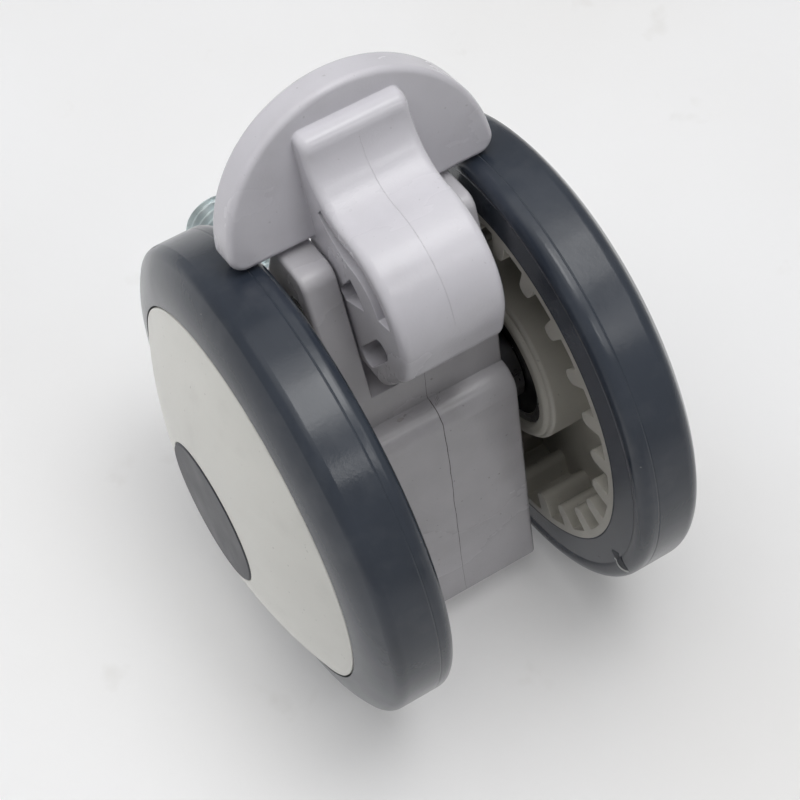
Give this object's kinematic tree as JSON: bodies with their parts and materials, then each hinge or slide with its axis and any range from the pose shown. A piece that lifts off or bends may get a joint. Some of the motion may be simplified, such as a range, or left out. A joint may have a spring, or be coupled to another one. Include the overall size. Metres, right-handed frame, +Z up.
{
  "type": "swivel caster with brake",
  "caption": "Twin-wheel swivel caster on a threaded stem, with a foot pedal that locks both wheels by a bar in their inner teeth.",
  "frame": {"origin": "on the stem's axis, at the hexagon's upper face, where the stem is screwed in up to", "axes": "+Z up the stem, +X towards the brake pedal, +Y along the axle to the right wheel"},
  "size_m": [0.0963, 0.0666, 0.109],
  "materials": {
    "tread_rubber": "satin",
    "wheel_plastic": "satin",
    "cover_plastic": "satin",
    "badge_plastic": "satin",
    "housing_plastic": "satin",
    "pedal_plastic": "semi-gloss",
    "bush_plastic": "matte",
    "zinc_steel": "zinc plated",
    "axle_steel": "ground",
    "bearing_steel": "polished",
    "spring_steel": "dark"
  },
  "bodies": {
    "stem": {"stem_bolt": "zinc_steel", "snap_ring": "spring_steel"},
    "housing": {"housing": "housing_plastic", "upper_bush": "bush_plastic", "lower_bush": "bush_plastic", "thrust_washer": "zinc_steel", "axle": "axle_steel", "pivot_pin": "axle_steel", "leaf_spring": "spring_steel", "axle_clip_left": "spring_steel", "axle_clip_right": "spring_steel", "spacer_left": "bush_plastic", "spacer_right": "bush_plastic", "bearing_inner_left": "bearing_steel", "bearing_inner_right": "bearing_steel"},
    "pedal": {"brake_pedal": "pedal_plastic", "lock_bar": "axle_steel"},
    "left_wheel": {"rim_left": "wheel_plastic", "tyre_left": "tread_rubber", "cap_left": "cover_plastic", "badge_left": "badge_plastic", "bearing_outer_left": "bearing_steel", "inner_shield_left": "bearing_steel", "outer_shield_left": "bearing_steel"},
    "right_wheel": {"rim_right": "wheel_plastic", "tyre_right": "tread_rubber", "cap_right": "cover_plastic", "badge_right": "badge_plastic", "bearing_outer_right": "bearing_steel", "inner_shield_right": "bearing_steel", "outer_shield_right": "bearing_steel"}
  },
  "joints": [
    {"name": "swivel", "type": "hinge", "parent": "stem", "child": "housing", "pos_m": [0, 0, 0], "axis": [0, 0, 1], "continuous": true},
    {"name": "left_wheel_spin", "type": "hinge", "parent": "housing", "child": "left_wheel", "pos_m": [0.0172, 0, -0.0465], "axis": [0, 1, 0], "continuous": true},
    {"name": "right_wheel_spin", "type": "hinge", "parent": "housing", "child": "right_wheel", "pos_m": [0.0172, 0, -0.0465], "axis": [0, 1, 0], "continuous": true},
    {"name": "brake_pedal", "type": "hinge", "parent": "housing", "child": "pedal", "pos_m": [0.0467, 0, -0.0462], "axis": [0, 1, 0], "range_deg": [0, 28]}
  ]
}
